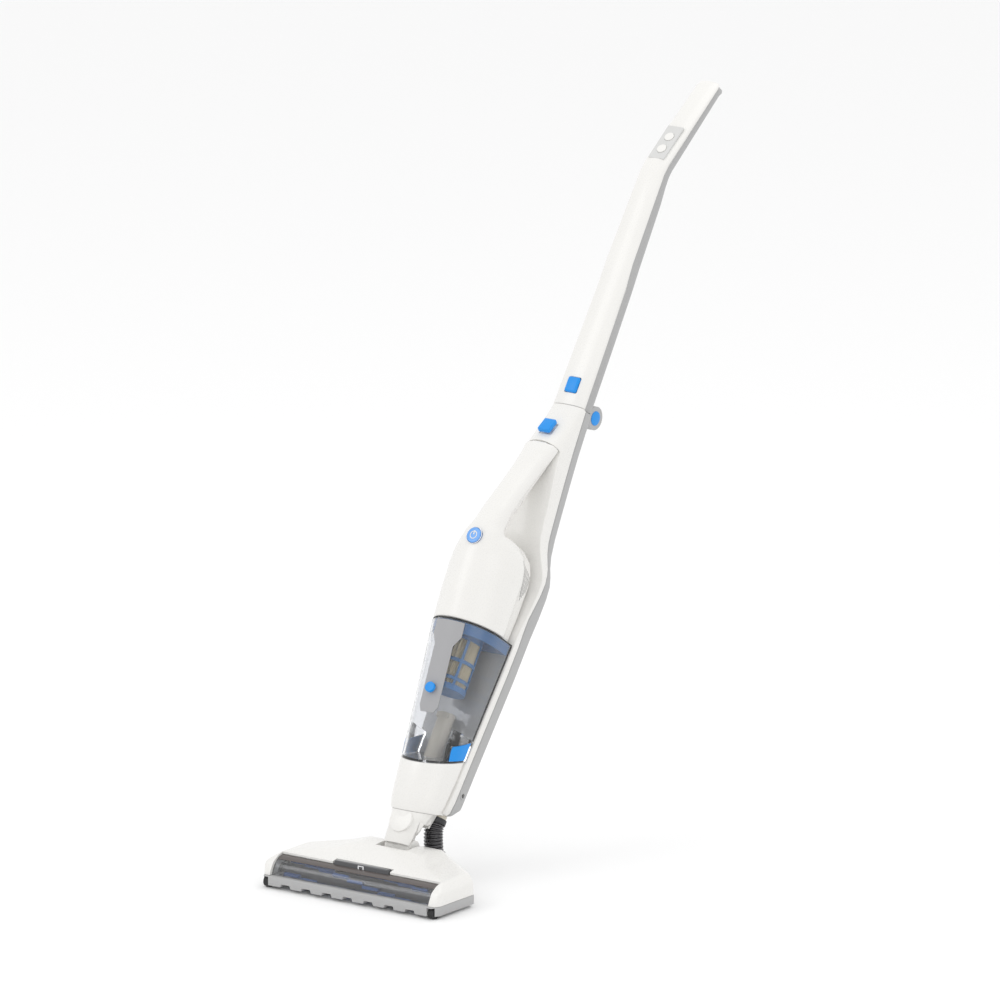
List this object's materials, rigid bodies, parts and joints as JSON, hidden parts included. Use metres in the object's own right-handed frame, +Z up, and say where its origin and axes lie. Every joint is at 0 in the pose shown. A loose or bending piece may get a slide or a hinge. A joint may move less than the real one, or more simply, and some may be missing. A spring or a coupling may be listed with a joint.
{
  "type": "stick_vacuum",
  "caption": "Cordless stick vacuum: floor head with brush roll, tilting neck, leaned frame with folding handle and a removable hand-held cleaner with a clear dust cup.",
  "frame": {"origin": "on the floor, under the middle of the object as it stands with its stick leaned back", "axes": "+Z up; +X to the right seen from the front of the floor head; -Y is the way the floor head faces"},
  "size_m": [0.254, 0.7249, 0.8487],
  "materials": {
    "white_shell": "gloss",
    "grey_shell": "satin",
    "dark_plastic": "satin",
    "smoke_clear": "clear smoked",
    "blue_plastic": "gloss",
    "pale_blue": "gloss",
    "cream_plastic": "satin",
    "soft_rubber": "matte",
    "hose_rubber": "matte",
    "steel": "brushed",
    "chrome_trim": "polished",
    "aluminium": "satin",
    "bristle": "matte",
    "filter_paper": "matte",
    "circuit_board": "satin",
    "battery_wrap": "gloss"
  },
  "bodies": {
    "head": {"head_cover": "white_shell", "head_base": "grey_shell", "brush_window": "smoke_clear", "led_bar": "dark_plastic", "led_board": "circuit_board", "brush_bush_left": "dark_plastic", "brush_bush_right": "dark_plastic", "brush_motor": "steel", "drive_belt": "soft_rubber", "head_duct": "grey_shell", "tilt_pin": "steel", "head_screws": "steel", "hose_collar_lower": "dark_plastic", "head_hose": "hose_rubber"},
    "brush_roll": {"brush_core": "dark_plastic", "brush_bristles": "bristle", "roll_pulley": "dark_plastic"},
    "motor_shaft": {"motor_pulley": "steel", "motor_rotor": "steel"},
    "front_wheel_left": {"front_wheel_left": "soft_rubber"},
    "front_wheel_right": {"front_wheel_right": "soft_rubber"},
    "rear_wheel_left": {"rear_wheel_left": "soft_rubber"},
    "rear_wheel_right": {"rear_wheel_right": "soft_rubber"},
    "neck_yoke": {"neck_yoke": "grey_shell"},
    "frame": {"neck_shell": "grey_shell", "swing_pin": "steel", "frame_front": "white_shell", "frame_rear": "grey_shell", "charging_jack": "dark_plastic", "frame_duct": "cream_plastic", "hose_collar_upper": "dark_plastic", "hinge_pin": "steel", "hinge_cap_left": "blue_plastic", "hinge_cap_right": "blue_plastic"},
    "release_button": {"release_button": "blue_plastic"},
    "handle": {"handle_front": "white_shell", "handle_rear": "grey_shell", "control_panel": "grey_shell", "handle_board": "circuit_board", "fold_spring": "steel"},
    "fold_button": {"fold_button": "blue_plastic"},
    "speed_key": {"speed_key": "white_shell"},
    "power_key": {"power_key": "white_shell"},
    "handheld": {"housing": "white_shell", "front_panel": "grey_shell", "vent_grille_left": "grey_shell", "vent_grille_right": "grey_shell", "fan_motor": "steel", "battery_cells": "battery_wrap", "main_board": "circuit_board"},
    "fan_rotor": {"fan_rotor": "aluminium"},
    "hand_button": {"hand_button": "pale_blue"},
    "dust_cup": {"dust_cup": "smoke_clear", "cup_label": "white_shell", "cup_gasket": "soft_rubber", "filter_cage": "blue_plastic", "filter_pleats": "filter_paper", "cup_inlet": "cream_plastic"},
    "cup_key_left": {"cup_key_left": "blue_plastic"},
    "cup_key_right": {"cup_key_right": "blue_plastic"}
  },
  "joints": [
    {"name": "neck_tilt", "type": "hinge", "parent": "head", "child": "neck_yoke", "pos_m": [0, -0.254, 0.044], "axis": [1, 0, 0], "range_deg": [-24, 33.5], "deforming": ["head_hose"]},
    {"name": "neck_swing", "type": "hinge", "parent": "neck_yoke", "child": "frame", "pos_m": [0, -0.23855, 0.06735], "axis": [0, 0.8339, -0.5519], "range_deg": [-20, 20], "deforming": ["head_hose"]},
    {"name": "brush_spin", "type": "hinge", "parent": "head", "child": "brush_roll", "pos_m": [0, -0.331, 0.0158], "axis": [1, 0, 0], "continuous": true},
    {"name": "motor_spin", "type": "hinge", "parent": "head", "child": "motor_shaft", "pos_m": [0, -0.29, 0.024], "axis": [1, 0, 0], "continuous": true},
    {"name": "front_left_roll", "type": "hinge", "parent": "head", "child": "front_wheel_left", "pos_m": [-0.119, -0.353, 0.0065], "axis": [1, 0, 0], "continuous": true},
    {"name": "front_right_roll", "type": "hinge", "parent": "head", "child": "front_wheel_right", "pos_m": [0.119, -0.353, 0.0065], "axis": [1, 0, 0], "continuous": true},
    {"name": "rear_left_roll", "type": "hinge", "parent": "head", "child": "rear_wheel_left", "pos_m": [-0.062, -0.276, 0.008], "axis": [1, 0, 0], "continuous": true},
    {"name": "rear_right_roll", "type": "hinge", "parent": "head", "child": "rear_wheel_right", "pos_m": [0.062, -0.276, 0.008], "axis": [1, 0, 0], "continuous": true},
    {"name": "handle_fold", "type": "hinge", "parent": "frame", "child": "handle", "pos_m": [0, 0.09814, 0.49087], "axis": [-1, 0, 0], "range_deg": [0, 165]},
    {"name": "release_press", "type": "slide", "parent": "frame", "child": "release_button", "axis": [0, 0.5183, -0.8552], "range_m": [0, 0.0015], "stiffness_N_per_m": 400, "springref_m": -0.0005},
    {"name": "fold_press", "type": "slide", "parent": "handle", "child": "fold_button", "axis": [0, 0.8339, -0.5519], "range_m": [0, 0.0015], "stiffness_N_per_m": 400, "springref_m": -0.0005, "deforming": ["fold_spring"]},
    {"name": "speed_press", "type": "slide", "parent": "handle", "child": "speed_key", "axis": [0, 0.6018, -0.7986], "range_m": [0, 0.0012], "stiffness_N_per_m": 400, "springref_m": -0.0005},
    {"name": "power_press", "type": "slide", "parent": "handle", "child": "power_key", "axis": [0, 0.6018, -0.7986], "range_m": [0, 0.0012], "stiffness_N_per_m": 400, "springref_m": -0.0005},
    {"name": "handheld_out", "type": "slide", "parent": "frame", "child": "handheld", "axis": [0, -0.8339, 0.5519], "range_m": [0, 0.13]},
    {"name": "hand_press", "type": "slide", "parent": "handheld", "child": "hand_button", "axis": [0, 0.8339, -0.5519], "range_m": [0, 0.0015], "stiffness_N_per_m": 400, "springref_m": -0.0005},
    {"name": "fan_spin", "type": "hinge", "parent": "handheld", "child": "fan_rotor", "pos_m": [0, -0.12617, 0.30236], "axis": [0, 0.5519, 0.8339], "continuous": true},
    {"name": "cup_out", "type": "slide", "parent": "handheld", "child": "dust_cup", "axis": [0, -0.8339, 0.5519], "range_m": [0, 0.08]},
    {"name": "cup_left_press", "type": "slide", "parent": "dust_cup", "child": "cup_key_left", "axis": [1, 0, 0], "range_m": [0, 0.0012], "stiffness_N_per_m": 400, "springref_m": -0.0005},
    {"name": "cup_right_press", "type": "slide", "parent": "dust_cup", "child": "cup_key_right", "axis": [-1, 0, 0], "range_m": [0, 0.0012], "stiffness_N_per_m": 400, "springref_m": -0.0005}
  ],
  "couplings": [
    {"joint": "motor_spin", "follows": "brush_spin", "ratio": 1.6}
  ]
}
